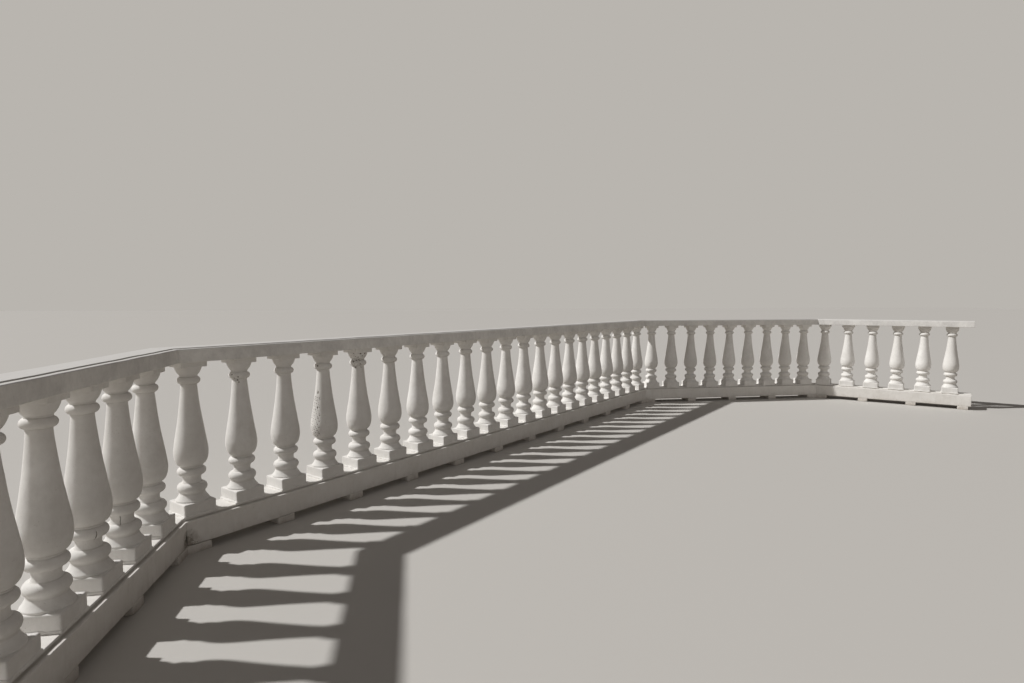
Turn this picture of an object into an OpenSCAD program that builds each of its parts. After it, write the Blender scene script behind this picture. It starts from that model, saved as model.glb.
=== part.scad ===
// Terrace balustrade of cast stone: four straight runs that turn round the terrace,
// each a bottom rail on low feet, a row of turned balusters and a moulded handrail.
// Lengths are measured along the centreline of the balusters, from one bend to the next.

/* [Plan] */
// Angle that the balustrade turns at each bend
bend = 45; // [30:1:60]

/* [Run 1] */
// Length of run 1, from its free end to the first bend
run_1_len = 2450; // [2100:10:3200]
// Number of balusters in run 1
run_1_balusters = 10; // [8:1:12]
// From the free end to the first baluster's axis
run_1_first = 121; // [110:1:200]
// From the last baluster's axis to the first bend
run_1_last = 178; // [120:1:240]
// Number of feet in run 1, without its bend's foot
run_1_feet = 5; // [4:1:6]
// From the free end to the middle of the first foot
run_1_foot_first = 129; // [60:1:200]
// From the middle of the last foot to the first bend
run_1_foot_last = 525; // [400:1:650]

/* [Run 2] */
// Length of run 2, between the first and the second bend
run_2_len = 5110; // [4850:5:6000]
// Number of balusters in run 2
run_2_balusters = 21; // [16:1:22]
// From the first bend to the first baluster's axis
run_2_first = 112; // [100:1:160]
// From the last baluster's axis to the second bend
run_2_last = 118; // [80:1:160]
// Number of feet in run 2, without its bends' feet
run_2_feet = 10; // [8:1:12]
// From the first bend to the middle of the first foot
run_2_foot_first = 536; // [400:1:650]
// From the middle of the last foot to the second bend
run_2_foot_last = 511; // [400:1:650]

/* [Run 3] */
// Length of run 3, between the second and the third bend
run_3_len = 2170; // [2050:5:3000]
// Number of balusters in run 3
run_3_balusters = 9; // [7:1:9]
// From the second bend to the first baluster's axis
run_3_first = 129; // [100:1:180]
// From the last baluster's axis to the third bend
run_3_last = 155; // [110:1:200]
// Number of feet in run 3, without its bends' feet
run_3_feet = 3; // [2:1:4]
// From the second bend to the middle of the first foot
run_3_foot_first = 585; // [400:1:650]
// From the middle of the last foot to the third bend
run_3_foot_last = 598; // [400:1:650]

/* [Run 4] */
// Length of run 4, from the third bend to the house wall
run_4_len = 1490; // [1400:10:2400]
// Number of balusters in run 4
run_4_balusters = 6; // [4:1:6]
// From the third bend to the first baluster's axis
run_4_first = 100; // [98:1:160]
// From the last baluster's axis to the wall
run_4_last = 185; // [110:1:220]
// Number of feet in run 4, without its bend's foot
run_4_feet = 3; // [2:1:4]
// From the third bend to the middle of the first foot
run_4_foot_first = 512; // [400:1:650]
// From the middle of the last foot to the wall
run_4_foot_last = 70; // [60:1:200]

/* [Feet] */
// Height of the feet, which is the drainage gap under the bottom rail
foot_h = 37; // [25:1:80]
// Width of a foot along its run
foot_w = 92; // [70:1:120]
// Length of each arm of a bend's foot, on the terrace face
bend_foot_arm = 110; // [80:1:140]

/* [Bottom rail] */
// Width of the bottom rail
rail_w = 182; // [165:1:220]
// Height of the bottom rail's plain face
rail_face_h = 111; // [80:1:160]
// Height of the raised course that the plinths stand on
course_h = 12; // [6:1:30]
// Radius of the bottom rail's worn arrises
rail_arris = 4; // [1:0.5:5]

/* [Handrail] */
// Width of the handrail
hand_w = 164; // [140:1:200]
// Height of the handrail's plain face
hand_face_h = 61; // [45:1:90]
// Width of the shoulder on each side of the handrail's raised middle
hand_shoulder = 28; // [12:1:40]
// Height of the handrail's raised middle over its shoulders
hand_raise = 4; // [3:0.5:12]
// Radius of the handrail's worn arrises
hand_arris = 5; // [1:0.5:8]

/* [Baluster plinth] */
// Width of the square plinth, which the raised course follows
plinth_w = 142; // [136:1:150]
// Height of the square plinth
plinth_h = 57; // [30:1:80]

/* [Baluster base mouldings] */
// Radius of the skirt where it spreads on the plinth
skirt_r = 68; // [60:0.5:68]
// Height of the skirt's upright rim
skirt_rim_h = 5; // [2:0.5:10]
// Height of the skirt's sloping part
skirt_h = 36; // [20:1:50]
// Radius of the fillet at the top of the skirt
skirt_top_r = 45; // [42:0.5:50]
// Height of that fillet
skirt_top_h = 5; // [2:0.5:10]
// Radius of the lower ring
lower_ring_r = 62; // [56:0.5:68]
// Height of the lower ring
lower_ring_h = 40; // [30:1:46]
// Smallest radius of the hollow between the two rings
hollow_r = 38; // [34:0.5:40]
// Height of the hollow between the two rings
hollow_h = 30; // [20:1:40]
// Radius of the upper ring
upper_ring_r = 60.5; // [56:0.5:68]
// Height of the upper ring
upper_ring_h = 38; // [30:1:42]

/* [Baluster belly and neck] */
// Radius of the fillet that the belly rises from
belly_foot_r = 47; // [42:0.5:50]
// Height of that fillet
belly_foot_h = 9; // [3:0.5:12]
// Largest radius of the belly
belly_r = 72.5; // [68:0.5:76]
// Height from the belly's foot to its widest place
belly_h = 60; // [45:1:75]
// Smallest radius of the neck
neck_r = 34; // [30:0.5:38]
// Height from the belly's widest place to the neck
neck_h = 305; // [260:1:360]

/* [Baluster cap] */
// Height of the plain neck under the bead
neck_top_h = 8; // [4:1:16]
// Radius of the bead round the neck
bead_r = 48.5; // [42:0.5:52]
// Height of the bead
bead_h = 34; // [20:1:34]
// Radius of the fillet over the bead
cap_fillet_r = 37; // [34:0.5:40]
// Height of that fillet
cap_fillet_h = 6; // [3:0.5:10]
// Largest radius of the bell that spreads under the abacus
bell_r = 56.5; // [50:0.5:57]
// Height of the bell
bell_h = 38; // [24:1:50]
// Width of the square abacus
abacus_w = 116; // [114:1:136]
// Height of the square abacus
abacus_h = 25; // [12:1:36]

/* [Hidden] */
RUNS = 4;
run_len = [run_1_len, run_2_len, run_3_len, run_4_len];
run_balusters = [run_1_balusters, run_2_balusters, run_3_balusters, run_4_balusters];
run_first = [run_1_first, run_2_first, run_3_first, run_4_first];
run_last = [run_1_last, run_2_last, run_3_last, run_4_last];
run_feet = [run_1_feet, run_2_feet, run_3_feet, run_4_feet];
run_foot_first = [run_1_foot_first, run_2_foot_first, run_3_foot_first, run_4_foot_first];
run_foot_last = [run_1_foot_last, run_2_foot_last, run_3_foot_last, run_4_foot_last];

// Heights of the seats that the pieces stand on
rail_seat = foot_h;
baluster_seat = rail_seat + rail_face_h + course_h;

// Balusters of one bay of two share a node
BAY = 2;
function bays(r) = ceil(run_balusters[r] / BAY);

// Smoothness of everything turned, and of each worn arris and moulding
TURN_FN = 64;
ARC_STEPS = 6;

STONE = [0.88, 0.86, 0.82];
RAIL_STONE = [0.84, 0.82, 0.78];
FOOT_STONE = [0.72, 0.69, 0.64];

// Heading of a run, and its outward normal, on the side away from the terrace
function heading(r) = 90 - bend * r;
function along(r) = [cos(heading(r)), sin(heading(r))];
function outward(r) = [-sin(heading(r)), cos(heading(r))];

// Corner c of the centreline: 0 is the free end and 4 is the house wall
function corner(c) = c == 0 ? [0, 0] : corner(c - 1) + run_len[c - 1] * along(c - 1);
function is_bend(c) = c > 0 && c < RUNS;

// From the centreline's corner to the rail's outer corner there
function corner_reach(c, w) =
    is_bend(c)
        ? (outward(c - 1) + outward(c)) / norm(outward(c - 1) + outward(c)) * w / 2 / cos(bend / 2)
        : outward(min(c, RUNS - 1)) * w / 2;

// Corners of the bottom rail in plan, whose middle is the origin
rail_corners = [for (c = [0:RUNS]) for (s = [-1, 1]) corner(c) + s * corner_reach(c, rail_w)];
plan_low = [for (i = [0:1]) min([for (p = rail_corners) p[i]])];
plan_high = [for (i = [0:1]) max([for (p = rail_corners) p[i]])];
plan_middle = (plan_low + plan_high) / 2;

// Puts a piece that is drawn along +X, with +Y outward, on run r
module on_run(r) {
    place = corner(r) - plan_middle;
    translate([place[0], place[1], 0])
        rotate(heading(r))
            children();
}

// How far a mitre runs past a run's end for each unit of width
function mitre(c) = is_bend(c) ? tan(bend / 2) : 0;

// A member of width w between the mitres of run r, seen from above
function member_plan(r, w) =
    [[mitre(r) * w / 2, -w / 2],
     [-mitre(r) * w / 2, w / 2],
     [run_len[r] + mitre(r + 1) * w / 2, w / 2],
     [run_len[r] - mitre(r + 1) * w / 2, -w / 2]];

// Upper right quarter of a moulding: a worn arris of radius a at half width x and height z
function arris(x, z, a) =
    [for (i = [0:ARC_STEPS]) [x - a + a * cos(90 * i / ARC_STEPS), z - a + a * sin(90 * i / ARC_STEPS)]];

function mirrored(points) =
    concat(points, [for (i = [len(points) - 1:-1:0]) [-points[i][0], points[i][1]]]);

// Draws a profile of half widths and heights along run r, from mitre to mitre
module moulded_member(r, w, h, profile) {
    intersection() {
        translate([-w, 0, 0])
            rotate([90, 0, 90])
                linear_extrude(run_len[r] + 2 * w)
                    polygon(mirrored(profile));
        linear_extrude(h)
            polygon(member_plan(r, w));
    }
}

module handrail(r) {
    w = hand_w / 2;
    h = hand_face_h;
    profile = concat([[w, 0]],
                     arris(w, h, hand_arris),
                     [[w - hand_shoulder, h]],
                     arris(w - hand_shoulder, h + hand_raise, hand_raise / 2));
    color(STONE)
        translate([0, 0, hand_seat])
            on_run(r)
                moulded_member(r, hand_w, hand_face_h + hand_raise, profile);
}

module bottom_rail(r) {
    w = rail_w / 2;
    h = rail_face_h;
    profile = concat([[w, 0]],
                     arris(w, h, rail_arris),
                     [[plinth_w / 2, h]],
                     arris(plinth_w / 2, h + course_h, course_h / 6));
    color(RAIL_STONE)
        translate([0, 0, rail_seat])
            on_run(r)
                moulded_member(r, rail_w, rail_face_h + course_h, profile);
}

// Middles of the feet of run r, evenly spaced between its first and last one
function foot_place(r, k) =
    run_foot_first[r] + k * (run_len[r] - run_foot_first[r] - run_foot_last[r]) / (run_feet[r] - 1);

module feet(r) {
    color(FOOT_STONE)
        on_run(r)
            for (k = [0:run_feet[r] - 1])
                translate([foot_place(r, k) - foot_w / 2, -rail_w / 2, 0])
                    cube([foot_w, rail_w, foot_h]);
}

// A point of the run before a bend, seen from the run after it
function turned(p) = [p[0] * cos(bend) - p[1] * sin(bend), p[0] * sin(bend) + p[1] * cos(bend)];

// The foot under bend b, with one arm along each of the two runs that meet there
module bend_foot(b) {
    inner = mitre(b) * rail_w / 2;
    reach = inner + bend_foot_arm;
    color(FOOT_STONE)
        on_run(b)
            linear_extrude(foot_h)
                polygon([[inner, -rail_w / 2], [reach, -rail_w / 2], [reach, rail_w / 2],
                         [-inner, rail_w / 2], turned([-reach, rail_w / 2]), turned([-reach, -rail_w / 2])]);
}

// Heights of the baluster's members over its own base, from the plinth up
z_skirt = plinth_h;
z_slope = z_skirt + skirt_rim_h;
z_skirt_top = z_slope + skirt_h;
z_lower_ring = z_skirt_top + skirt_top_h;
z_hollow = z_lower_ring + lower_ring_h;
z_upper_ring = z_hollow + hollow_h;
z_belly_foot = z_upper_ring + upper_ring_h;
z_belly = z_belly_foot + belly_foot_h;
z_widest = z_belly + belly_h;
z_neck = z_widest + neck_h;
z_bead = z_neck + neck_top_h;
z_cap_fillet = z_bead + bead_h;
z_bell = z_cap_fillet + cap_fillet_h;
z_abacus = z_bell + bell_h;
baluster_h = z_abacus + abacus_h;
hand_seat = baluster_seat + baluster_h;

// Place at share t of a smooth curve that starts at a, ends at d and leans on b and c
function curve(a, b, c, d, t) =
    pow(1 - t, 3) * a + 3 * t * pow(1 - t, 2) * b + 3 * t * t * (1 - t) * c + pow(t, 3) * d;

// Half round ring of radius r and height h that stands on height z
function ring(r, h, z) =
    [for (i = [0:2 * ARC_STEPS])
        [r - h / 2 + h / 2 * cos(90 * (i / ARC_STEPS - 1)), z + h / 2 + h / 2 * sin(90 * (i / ARC_STEPS - 1))]];

// Hollow between the rings: a curve that sinks to hollow_r in its middle
function hollow(z, h, r_below, r_above) =
    [for (i = [1:2 * ARC_STEPS - 1])
        let (t = i / (2 * ARC_STEPS), r = r_below + (r_above - r_below) * t)
            [r - (r - hollow_r) * sin(180 * t), z + h * t]];

// The skirt sweeps in from its rim to its top fillet
skirt_curve = [for (i = [0:ARC_STEPS])
    curve([skirt_r, z_slope], [skirt_r - 12, z_slope + 6],
          [skirt_top_r + 5, z_skirt_top - 12], [skirt_top_r, z_skirt_top], i / ARC_STEPS)];

// The belly swells from its foot as a quarter ellipse, then draws in to the neck
belly_swell = [for (i = [0:ARC_STEPS])
    [belly_foot_r + (belly_r - belly_foot_r) * sin(90 * i / ARC_STEPS),
     z_widest - belly_h * cos(90 * i / ARC_STEPS)]];
neck_curve = [for (i = [1:3 * ARC_STEPS])
    curve([belly_r, z_widest], [belly_r, z_widest + 0.14 * neck_h],
          [neck_r + 0.36 * (belly_r - neck_r), z_widest + 0.42 * neck_h], [neck_r, z_neck], i / (3 * ARC_STEPS))];

// The bell under the abacus spreads in a nearly straight slope that swells a little
bell_spread = bell_r - cap_fillet_r;
bell_curve = [for (i = [0:ARC_STEPS])
    curve([cap_fillet_r, z_bell], [cap_fillet_r + 0.42 * bell_spread, z_bell + 0.2 * bell_h],
          [cap_fillet_r + 0.86 * bell_spread, z_bell + 0.6 * bell_h], [bell_r, z_abacus], i / ARC_STEPS)];

turned_profile = concat(
    [[0, z_skirt], [skirt_r, z_skirt]],
    skirt_curve,
    [[skirt_top_r, z_lower_ring]],
    ring(lower_ring_r, lower_ring_h, z_lower_ring),
    hollow(z_hollow, hollow_h, lower_ring_r - lower_ring_h / 2, upper_ring_r - upper_ring_h / 2),
    ring(upper_ring_r, upper_ring_h, z_upper_ring),
    [[belly_foot_r, z_belly_foot]],
    belly_swell,
    neck_curve,
    [[neck_r, z_bead]],
    ring(bead_r, bead_h, z_bead),
    [[cap_fillet_r, z_cap_fillet]],
    bell_curve,
    [[0, z_abacus]]);

// One cast baluster: square plinth, turned shaft and square abacus in one piece
module baluster() {
    translate([-plinth_w / 2, -plinth_w / 2, 0])
        cube([plinth_w, plinth_w, plinth_h]);
    rotate_extrude($fn = TURN_FN)
        polygon(turned_profile);
    translate([-abacus_w / 2, -abacus_w / 2, z_abacus])
        cube([abacus_w, abacus_w, abacus_h]);
}

function baluster_place(r, k) =
    run_first[r] + k * (run_len[r] - run_first[r] - run_last[r]) / (run_balusters[r] - 1);

// The balusters of bay number k of run r
module balusters(r, k) {
    color(STONE)
        translate([0, 0, baluster_seat])
            on_run(r)
                for (n = [BAY * (k - 1):min(BAY * k, run_balusters[r]) - 1])
                    translate([baluster_place(r, n), 0, 0])
                        baluster();
}

for (r = [0:RUNS - 1])
    handrail(r);
for (r = [0:RUNS - 1])
    bottom_rail(r);
for (r = [0:RUNS - 1])
    feet(r);
for (b = [1:RUNS - 1])
    bend_foot(b);
for (r = [0:RUNS - 1])
    for (k = [1:bays(r)])
        balusters(r, k);
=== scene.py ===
"""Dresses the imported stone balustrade: painted cast stone, a moulded handrail and mortared feet.

Every CAD node is replaced by one finished piece that stands in the same place. All lengths are in
metres, in the row frame, and the balustrade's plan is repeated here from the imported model's own values.
"""

import logging
import math
from dataclasses import dataclass, field, replace
from enum import Enum
from itertools import accumulate
from typing import Any, Callable, Iterable

import bmesh
import bpy
from mathutils import Matrix, Vector, noise


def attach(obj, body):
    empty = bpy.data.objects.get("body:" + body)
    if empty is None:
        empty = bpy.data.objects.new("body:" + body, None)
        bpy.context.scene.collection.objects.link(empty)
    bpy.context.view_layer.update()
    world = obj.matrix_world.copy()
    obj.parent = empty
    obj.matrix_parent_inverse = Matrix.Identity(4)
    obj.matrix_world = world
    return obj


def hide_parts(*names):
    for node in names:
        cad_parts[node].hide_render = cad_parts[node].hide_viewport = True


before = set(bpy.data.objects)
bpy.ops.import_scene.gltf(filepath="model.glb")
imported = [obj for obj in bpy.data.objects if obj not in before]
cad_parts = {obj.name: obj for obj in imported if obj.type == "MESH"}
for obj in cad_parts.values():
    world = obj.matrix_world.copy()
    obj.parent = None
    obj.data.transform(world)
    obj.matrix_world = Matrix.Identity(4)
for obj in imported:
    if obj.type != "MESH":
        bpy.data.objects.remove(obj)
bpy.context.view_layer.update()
LOG = logging.getLogger("balustrade")

Triple = tuple[float, float, float]
Colour = Triple
Point = tuple[float, float]

# Values that each mesh carries at its vertices, for the finishes to read
EDGE = "edge_wear"
CREASE = "crease"
# Worn paint patches up to 1; above 1, dirt and painted shade in carved cracks, pits and holes
WEAR_AND_HOLE_SHADE = "worn_patch_and_hole_shade"
TONE = "cast_tone"

# Distances at which two points are one, a cut goes through a vertex, and a point has no bearing
TOUCHING = 1e-5
CUT_MARGIN = 1e-6
ON_AXIS = 1e-4

# Keeps the ripples and chips of a surface off the pattern of its lumps
RIPPLE_SHIFT = Vector((7.1, 3.3, 5.7))
CHIP_SHIFT = Vector((2.9, 8.3, 1.1))

# Start and step of the even scatter of specks: across, up and in size
SCATTER = ((0.31, 0.618034), (0.17, 0.754878), (0.5, 0.569840))


class Slot(Enum):
    """The record's material slots."""

    HANDRAIL = "handrail"
    BALUSTER = "baluster"
    BOTTOM_RAIL = "bottom_rail"
    FEET = "feet"


class Decay(Enum):
    """What has happened to one place on a baluster."""

    SPECKED = "specked"
    PITTED = "pitted"
    CRACKED = "cracked"


# Node trees


class Graph:
    """Adds nodes to one node tree and wires them."""

    def __init__(self, tree: bpy.types.NodeTree) -> None:
        """Keeps the tree that the nodes go into."""
        self.tree = tree

    def node(self, kind: str, inputs: dict[str | int, Any] | None = None, **settings: Any) -> bpy.types.Node:
        """Adds one node.

        Args:
            kind: The node's type name.
            inputs: For each input's name or number, a socket to link or a plain value.
            settings: Properties of the node.

        Returns:
            The new node.
        """
        made = self.tree.nodes.new(kind)
        for name, value in settings.items():
            setattr(made, name, value)
        for key, value in (inputs or {}).items():
            if isinstance(value, bpy.types.NodeSocket):
                self.tree.links.new(value, made.inputs[key])
            else:
                made.inputs[key].default_value = value
        return made

    def send(self, output: bpy.types.Node, **values: Any) -> None:
        """Links each value to the group's output of that name."""
        for name, value in values.items():
            self.tree.links.new(value, output.inputs[name])

    def noise(self, vector: Any, scale: Any, detail: float = 3.0, roughness: float = 0.55) -> Any:
        """Adds a noise.

        Args:
            vector: The place that it reads.
            scale: How many of its cells lie in a metre.
            detail: How many finer layers it has.
            roughness: How much the finer layers show.

        Returns:
            Its value's socket.
        """
        made = self.node("ShaderNodeTexNoise", {"Vector": vector, "Scale": scale,
                                                "Detail": detail, "Roughness": roughness})
        return made.outputs[0]

    def math(self, operation: str, a: Any, b: Any = 0.5, clamp: bool = False) -> Any:
        """Returns the result of one Math node."""
        return self.node("ShaderNodeMath", {0: a, 1: b}, operation=operation, use_clamp=clamp).outputs[0]

    def times(self, a: Any, b: Any) -> Any:
        """Returns the product of two values."""
        return self.math("MULTIPLY", a, b)

    def weigh(self, a: Any, share_a: float, b: Any, share_b: float) -> Any:
        """Returns the sum of two values, each times its share."""
        return self.math("ADD", self.times(a, share_a), self.times(b, share_b))

    def band(self, value: Any, low: Any, high: Any, to_low: float = 0.0, to_high: float = 1.0) -> Any:
        """Takes a value from one range to another, clamped.

        Args:
            value: The value's socket.
            low: The start of its range.
            high: The end of its range.
            to_low: What the start becomes.
            to_high: What the end becomes.

        Returns:
            The new value's socket.
        """
        made = self.node("ShaderNodeMapRange", {"Value": value, "From Min": low, "From Max": high,
                                                "To Min": to_low, "To Max": to_high})
        return made.outputs[0]

    def blend(self, share: Any, a: Any, b: Any) -> Any:
        """Mixes two colours.

        Args:
            share: How much of the second colour shows, a socket or a number.
            a: The first colour, a socket or plain values.
            b: The second colour, a socket or plain values.

        Returns:
            The mixed colour's socket.
        """
        first, second = (c if isinstance(c, bpy.types.NodeSocket) else (*c, 1.0) for c in (a, b))
        return self.node("ShaderNodeMix", {0: share, 6: first, 7: second}, data_type="RGBA").outputs[2]

    def attribute(self, name: str) -> Any:
        """Returns the value that the mesh carries under that name."""
        return self.node("ShaderNodeAttribute", attribute_name=name).outputs["Fac"]

    def stretch(self, vector: Any, scale: Triple) -> Any:
        """Returns the vector with each axis multiplied."""
        return self.node("ShaderNodeMapping", {"Vector": vector, "Scale": scale}).outputs[0]


class Effects:
    """The shader groups that every finish shares, each built once."""

    def __init__(self) -> None:
        """Starts with no groups."""
        self.groups: dict[str, bpy.types.NodeTree] = {}

    def group(self, name: str, inputs: dict[str, float],
              outputs: Iterable[str]) -> tuple[Graph, Any, Any]:
        """Makes an empty group with its sockets.

        Args:
            name: The group's name.
            inputs: The default of each input beside the place vector.
            outputs: The names of its value outputs.

        Returns:
            The graph to fill, the group's input node and its output node.
        """
        tree = bpy.data.node_groups.new(name, "ShaderNodeTree")
        tree.interface.new_socket("Vector", in_out="INPUT", socket_type="NodeSocketVector")
        for label, value in inputs.items():
            socket = tree.interface.new_socket(label, in_out="INPUT", socket_type="NodeSocketFloat")
            socket.default_value = value
        for label in outputs:
            tree.interface.new_socket(label, in_out="OUTPUT", socket_type="NodeSocketFloat")
        self.groups[name] = tree
        return Graph(tree), tree.nodes.new("NodeGroupInput"), tree.nodes.new("NodeGroupOutput")

    def build(self) -> "Effects":
        """Builds every group.

        Returns:
            The effects themselves.
        """
        self.cast_grain()
        self.relief()
        self.flaking()
        self.ground_dirt()
        self.rain_streaks()
        return self

    def cast_grain(self) -> None:
        """Trowel lumps, sand grain and small air holes of painted cast stone."""
        g, source, out = self.group("cast grain", {"Holes": 0.5}, ("Height", "Mottle", "Pits"))
        v = source.outputs["Vector"]
        lumps = g.noise(v, 38.0, 4.0, 0.6)
        sand = g.noise(v, 420.0, 2.0, 0.7)
        voronoi = g.node("ShaderNodeTexVoronoi", {"Vector": v, "Scale": 115.0, "Randomness": 1.0})
        cells = voronoi.outputs["Distance"]
        where = g.band(g.noise(v, 16.0, 2.0), 0.52, 0.66)
        holes = g.times(g.band(cells, 0.11, 0.2, 1.0, 0.0), where)
        # The bump alone sinks these air holes; the finish darkens them with dirt and painted shade
        pits = g.math("MULTIPLY", holes, source.outputs["Holes"], clamp=True)
        relief = g.weigh(lumps, 0.75, sand, 0.25)
        wide = g.noise(v, 7.0, 5.0, 0.62)
        fine = g.noise(g.stretch(v, (1.0, 1.0, 0.8)), 48.0, 4.0, 0.65)
        mottle = g.weigh(wide, 0.68, fine, 0.32)
        g.send(out, Height=g.math("SUBTRACT", relief, pits), Mottle=g.band(mottle, 0.36, 0.64), Pits=pits)

    def relief(self) -> None:
        """Rubbed arrises, and dirt with painted shade in the hollows, from the mesh's own relief."""
        g, source, out = self.group("arrises and hollows", {"Edge": 0.0, "Crease": 0.0}, ("Rubbed", "Grime"))
        v = source.outputs["Vector"]
        broken = g.band(g.noise(v, 60.0, 4.0, 0.65), 0.42, 0.62)
        edge = g.band(source.outputs["Edge"], 0.25, 0.9)
        soft = g.band(g.noise(v, 14.0, 4.0, 0.6), 0.25, 0.7, 0.35, 1.0)
        crease = g.band(source.outputs["Crease"], 0.04, 0.45)
        # The crease mask darkens the hollows: dirt, and painted shade where the hollows fall dark
        g.send(out, Rubbed=g.times(edge, broken), Grime=g.times(crease, soft))

    def flaking(self) -> None:
        """Where the paint has come off down to the cast, ragged at its rim."""
        g, source, out = self.group("paint flaking", {"Amount": 0.1, "Patch": 0.0}, ("Mask", "Depth"))
        v = source.outputs["Vector"]
        ragged = g.noise(v, 95.0, 5.0, 0.7)
        spots = g.noise(v, 21.0, 3.0, 0.6)
        chance = g.weigh(ragged, 0.7, spots, 0.3)
        pull = g.weigh(source.outputs["Amount"], 0.12, source.outputs["Patch"], 0.24)
        level = g.math("ADD", chance, pull)
        g.send(out, Mask=g.band(level, 0.70, 0.715), Depth=g.band(level, 0.69, 0.73))

    def ground_dirt(self) -> None:
        """Splashed soil that rises from the floor and thins out upwards."""
        g, source, out = self.group("ground dirt", {"Top": 0.1}, ("Mask",))
        v = source.outputs["Vector"]
        height = g.node("ShaderNodeSeparateXYZ", {0: v}).outputs["Z"]
        cloud = g.noise(v, 24.0, 5.0, 0.65)
        wander = g.times(g.math("SUBTRACT", cloud, 0.5), source.outputs["Top"])
        level = g.math("ADD", height, g.times(wander, 1.6))
        level = g.math("DIVIDE", level, source.outputs["Top"])
        fade = g.band(level, 0.0, 1.0, 1.0, 0.0)
        specks = g.band(g.noise(v, 150.0, 3.0, 0.7), 0.35, 0.65, 0.45, 1.0)
        g.send(out, Mask=g.times(g.math("POWER", fade, 1.6), specks))

    def rain_streaks(self) -> None:
        """Thin grey runs that rain leaves down an upright face."""
        g, source, out = self.group("rain streaks", {"Amount": 0.3}, ("Mask",))
        v = source.outputs["Vector"]
        runs = g.noise(g.stretch(v, (1.0, 1.0, 0.14)), 40.0, 5.0, 0.65)
        breaks = g.noise(v, 5.0, 3.0, 0.5)
        both = g.times(g.band(runs, 0.5, 0.72), g.band(breaks, 0.4, 0.65))
        g.send(out, Mask=g.times(both, source.outputs["Amount"]))


@dataclass(frozen=True)
class PaintedStone:
    """Masonry paint over cast stone, with the wear of one part of the balustrade."""

    name: str
    paint: Colour
    aged: Colour
    bare: Colour = (0.40, 0.37, 0.33)
    # Dirt colour, which also paints shade into creases and small air holes
    grime_and_shade: Colour = (0.33, 0.30, 0.26)
    soil: Colour = (0.26, 0.21, 0.16)
    # Near-black dirt and painted shade for carved cracks, pits and holes
    hollow: Colour = (0.12, 0.10, 0.08)
    roughness: float = 0.72
    aged_roughness: float = 0.12
    flaked_roughness: float = 0.2
    flaked_depth: float = 1.2
    shine: float = 0.35
    relief: float = 0.55
    grain: float = 0.0012
    holes: float = 0.5
    flaking: float = 0.2
    # How much dirt and painted shade darken the small air holes
    hole_dirt_and_shade_share: float = 0.6
    hollow_shade_and_dirt_share: float = 0.85
    hollow_shade_and_dirt_band: Point = (1.0, 1.4)
    # How much dirt and painted shade darken the creases
    crease_grime_and_shade_share: float = 0.75
    rubbed_share: float = 0.35
    dirt_top: float = 0.1
    dirt_share: float = 0.5
    streaks: float = 0.1
    tone_share: float = 0.5

    def material(self, effects: Effects) -> bpy.types.Material:
        """Builds the finish's material.

        Args:
            effects: The shared shader groups.

        Returns:
            The node material.
        """
        made = bpy.data.materials.new(self.name)
        made.use_nodes = True
        made.node_tree.nodes.clear()
        g = Graph(made.node_tree)
        place = g.node("ShaderNodeTexCoord").outputs["Object"]

        def shared(group: str, **inputs: Any) -> bpy.types.Node:
            """Places one shared group, with a socket or a number for each of its inputs."""
            return g.node("ShaderNodeGroup", {"Vector": place, **inputs}, node_tree=effects.groups[group])

        grain = shared("cast grain", Holes=self.holes)
        relief = shared("arrises and hollows", Edge=g.attribute(EDGE), Crease=g.attribute(CREASE))
        flakes = shared("paint flaking", Amount=self.flaking, Patch=g.attribute(WEAR_AND_HOLE_SHADE))
        soil = shared("ground dirt", Top=self.dirt_top)
        streaks = shared("rain streaks", Amount=self.streaks)

        layers = (
            (g.attribute(TONE), self.tone_share, self.aged),
            (streaks.outputs["Mask"], 1.0, self.grime_and_shade),
            (relief.outputs["Rubbed"], self.rubbed_share, self.bare),
            # Dirt and painted shade in the creases
            (relief.outputs["Grime"], self.crease_grime_and_shade_share, self.grime_and_shade),
            # Dirt and painted shade in the small air holes
            (grain.outputs["Pits"], self.hole_dirt_and_shade_share, self.grime_and_shade),
            (flakes.outputs["Mask"], 1.0, self.bare),
            # Dirt and painted shade in carved cracks, pits and holes
            (g.band(g.attribute(WEAR_AND_HOLE_SHADE), *self.hollow_shade_and_dirt_band), self.hollow_shade_and_dirt_share, self.hollow),
            (soil.outputs["Mask"], self.dirt_share, self.soil),
        )
        colour = g.blend(grain.outputs["Mottle"], self.aged, self.paint)
        for mask, share, over in layers:
            colour = g.blend(g.times(mask, share), colour, over)

        mottle = grain.outputs["Mottle"]
        rough = g.band(mottle, 0.0, 1.0, self.roughness + self.aged_roughness, self.roughness)
        rough = g.math("ADD", rough, g.times(flakes.outputs["Mask"], self.flaked_roughness), clamp=True)
        sunk = g.times(flakes.outputs["Depth"], self.flaked_depth)
        height = g.math("SUBTRACT", grain.outputs["Height"], sunk)
        bump = g.node("ShaderNodeBump", {"Strength": self.relief, "Distance": self.grain, "Height": height})
        shader = g.node("ShaderNodeBsdfPrincipled", {"Base Color": colour, "Roughness": rough,
                                                     "Normal": bump.outputs["Normal"],
                                                     "Specular IOR Level": self.shine})
        output = g.node("ShaderNodeOutputMaterial")
        g.tree.links.new(shader.outputs[0], output.inputs["Surface"])
        return made


# Mesh helpers


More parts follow.
